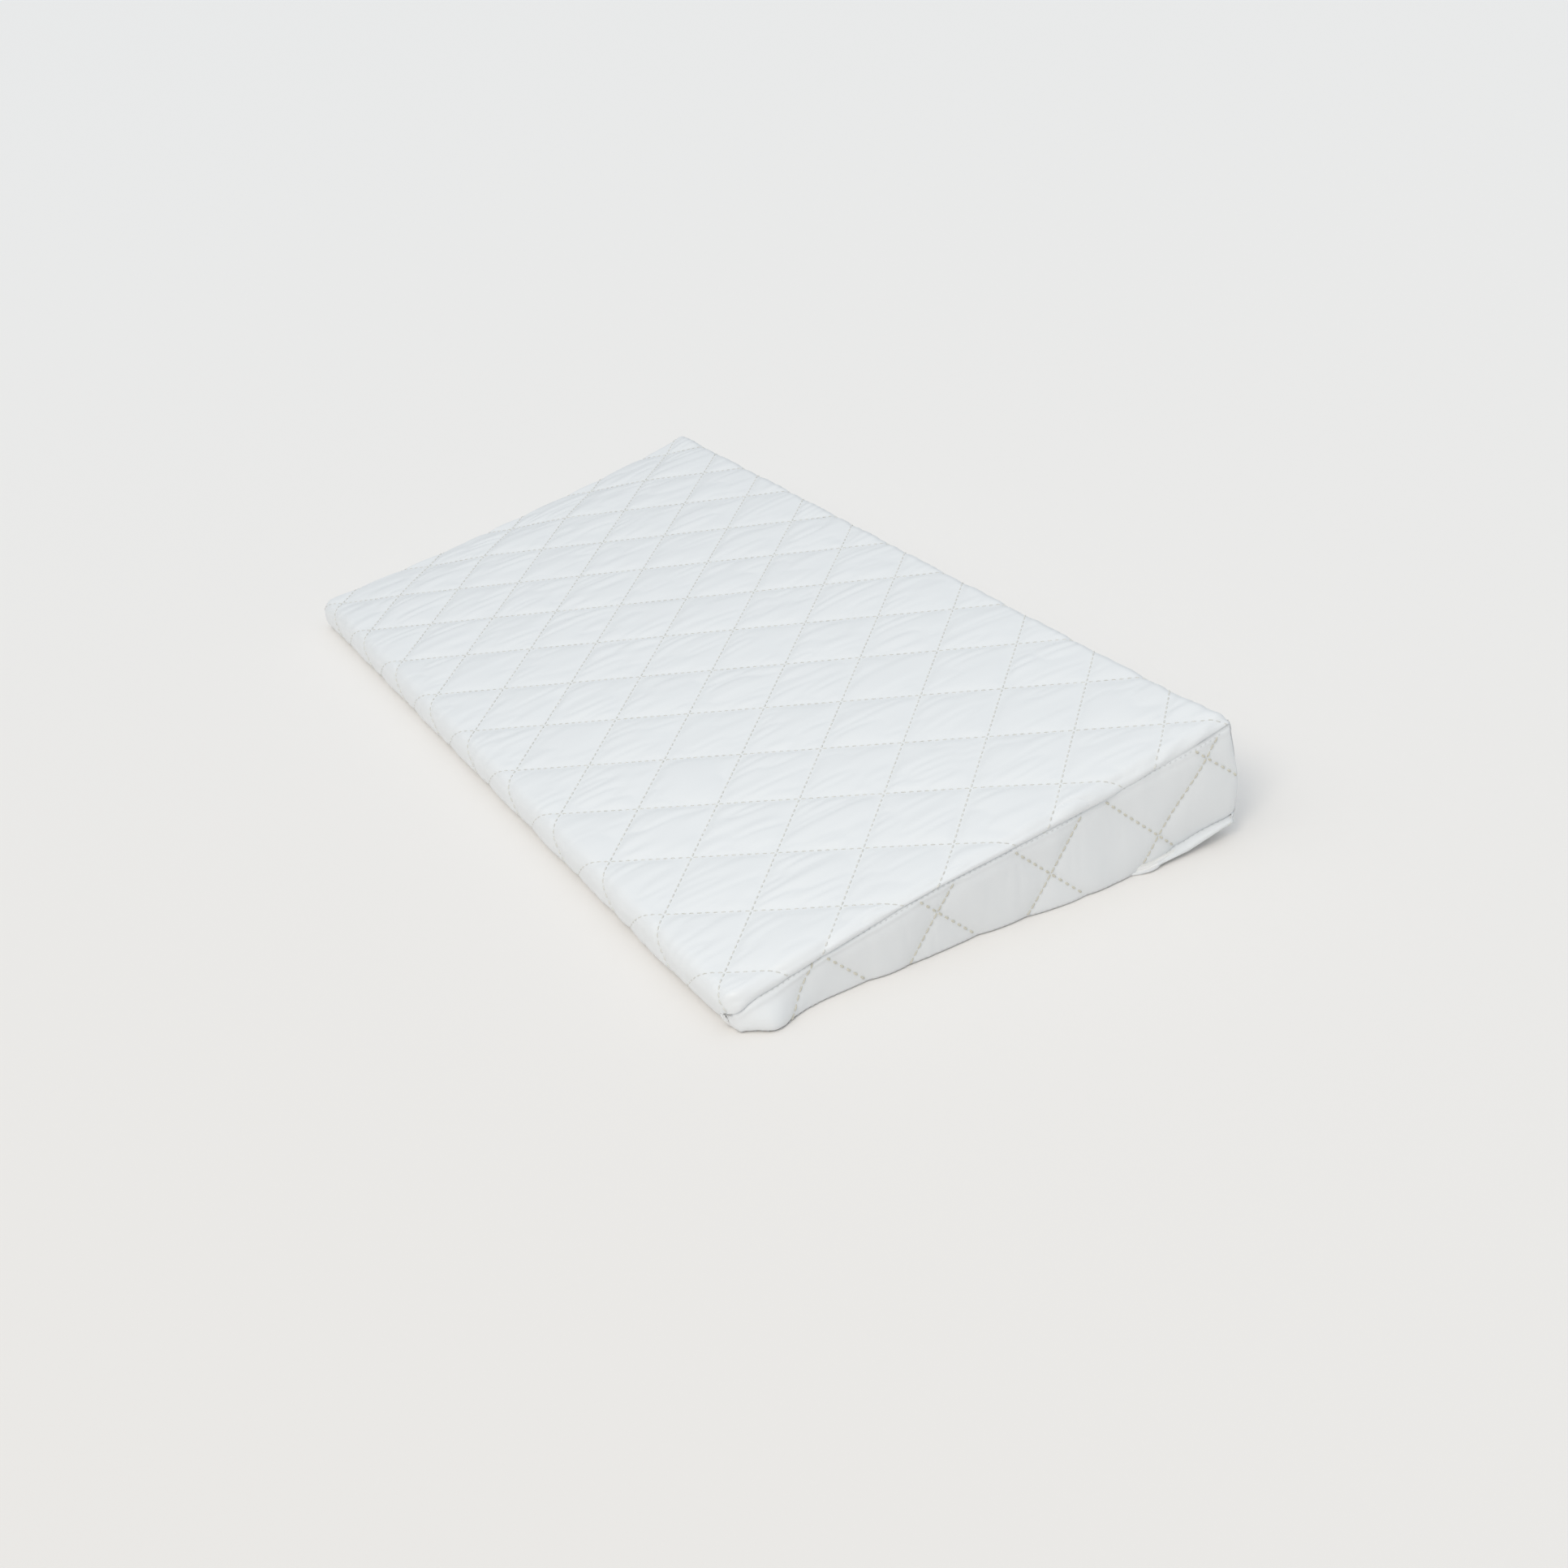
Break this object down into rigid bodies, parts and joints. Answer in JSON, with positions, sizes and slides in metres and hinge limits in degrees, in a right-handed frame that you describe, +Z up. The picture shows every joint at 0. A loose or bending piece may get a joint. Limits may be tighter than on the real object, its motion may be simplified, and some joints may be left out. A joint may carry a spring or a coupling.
{
  "type": "wedge mattress",
  "caption": "Inclined foam wedge mattress for a cot in a diamond-quilted zip-off cover, memory foam over a firm foam base.",
  "frame": {"origin": "middle of the box round the whole part, at the base it lies on", "axes": "+X along the long side, +Y from the thin edge to the tall edge with the zip, +Z up"},
  "size_m": [0.6, 0.2934, 0.0674],
  "materials": {
    "face_fabric": "satin",
    "wadding": "matte",
    "backing": "matte",
    "sleeve": "matte",
    "memory_foam": "matte",
    "base_foam": "matte",
    "zip_tape": "matte",
    "zip_coil": "satin",
    "zip_metal": "gloss",
    "stitch_thread": "satin"
  },
  "bodies": {
    "mattress": {"top_face_fabric": "face_fabric", "top_wadding": "wadding", "top_backing": "backing", "base_face_fabric": "face_fabric", "base_wadding": "wadding", "base_backing": "backing", "left_face_fabric": "face_fabric", "left_wadding": "wadding", "left_backing": "backing", "right_face_fabric": "face_fabric", "right_wadding": "wadding", "right_backing": "backing", "back_lower_face_fabric": "face_fabric", "back_lower_wadding": "wadding", "back_lower_backing": "backing", "back_upper_face_fabric": "face_fabric", "back_upper_wadding": "wadding", "back_upper_backing": "backing", "inner_sleeve": "sleeve", "base_foam_wedge": "base_foam", "memory_foam_layer": "memory_foam", "zip_tape_upper": "zip_tape", "zip_tape_lower": "zip_tape", "zip_coil_upper": "zip_coil", "zip_coil_lower": "zip_coil", "zip_top_stop_upper": "zip_metal", "zip_top_stop_lower": "zip_metal", "zip_bottom_stop": "zip_metal"},
    "slider": {"zip_slider": "zip_metal"},
    "pull": {"zip_pull_tab": "zip_metal"}
  },
  "joints": [
    {"name": "zip_slide", "type": "slide", "parent": "mattress", "child": "slider", "axis": [-1, 0, 0], "range_m": [0, 0.551]},
    {"name": "pull_flip", "type": "hinge", "parent": "slider", "child": "pull", "pos_m": [0.2755, 0.1451, 0.033], "axis": [0, 0, -1], "range_deg": [0, 180]}
  ]
}
